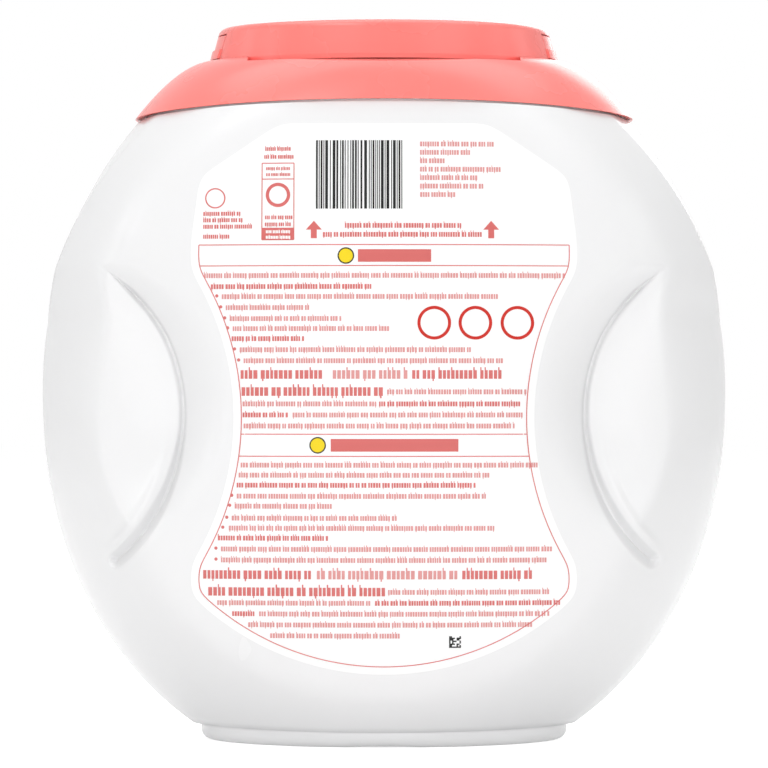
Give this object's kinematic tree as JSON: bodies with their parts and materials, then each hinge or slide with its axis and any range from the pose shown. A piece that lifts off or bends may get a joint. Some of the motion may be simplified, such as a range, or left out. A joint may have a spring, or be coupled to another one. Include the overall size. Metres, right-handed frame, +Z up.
{
  "type": "laundry pod tub",
  "caption": "White oval moulded plastic tub with side grip scoops, a back label and a coral squeeze-tab hinged lid, filled with laundry detergent pods.",
  "frame": {"origin": "centre of the foot's underside, where the tub stands", "axes": "+Z up through the closure; the labelled back and the lid's hinge face -Y, the bare front faces +Y; +X runs across the wide side"},
  "size_m": [0.2161, 0.134, 0.2238],
  "materials": {
    "tub": "white opaque polyolefin, glossy",
    "label": "white film label printed in coral and grey, satin",
    "closure": "opaque coral polypropylene, satin gloss",
    "pod_film": "clear soft water-soluble film over white, blue and coral detergent"
  },
  "bodies": {
    "container": {"tub": "tub", "back_label": "label", "collar": "closure", "pod_01": "pod_film", "pod_02": "pod_film", "pod_03": "pod_film", "pod_04": "pod_film", "pod_05": "pod_film", "pod_06": "pod_film", "pod_07": "pod_film", "pod_08": "pod_film", "pod_09": "pod_film", "pod_10": "pod_film", "pod_11": "pod_film", "pod_12": "pod_film", "pod_13": "pod_film", "pod_14": "pod_film", "pod_15": "pod_film", "pod_16": "pod_film", "pod_17": "pod_film", "pod_18": "pod_film", "pod_19": "pod_film", "pod_20": "pod_film", "pod_21": "pod_film", "pod_22": "pod_film", "pod_23": "pod_film", "pod_24": "pod_film", "pod_25": "pod_film", "pod_26": "pod_film", "pod_27": "pod_film", "pod_28": "pod_film", "pod_29": "pod_film", "pod_30": "pod_film", "pod_31": "pod_film", "pod_32": "pod_film", "pod_33": "pod_film", "pod_34": "pod_film", "pod_35": "pod_film", "pod_36": "pod_film", "pod_37": "pod_film", "pod_38": "pod_film", "pod_39": "pod_film", "pod_40": "pod_film", "pod_41": "pod_film", "pod_42": "pod_film", "pod_43": "pod_film", "pod_44": "pod_film", "pod_45": "pod_film", "pod_46": "pod_film"},
    "lid": {"lid": "closure"},
    "tab_left": {"tab_left": "closure"},
    "tab_right": {"tab_right": "closure"}
  },
  "joints": [
    {"name": "lid_hinge", "type": "hinge", "parent": "container", "child": "lid", "pos_m": [0, -0.0442, 0.21145], "axis": [1, 0, 0], "range_deg": [0, 100]},
    {"name": "tab_left_squeeze", "type": "hinge", "parent": "lid", "child": "tab_left", "pos_m": [-0.0513, 0, 0.2205], "axis": [0, -1, 0], "range_deg": [0, 6], "stiffness_Nm_per_rad": 0.3},
    {"name": "tab_right_squeeze", "type": "hinge", "parent": "lid", "child": "tab_right", "pos_m": [0.0513, 0, 0.2205], "axis": [0, 1, 0], "range_deg": [0, 6], "stiffness_Nm_per_rad": 0.3}
  ]
}
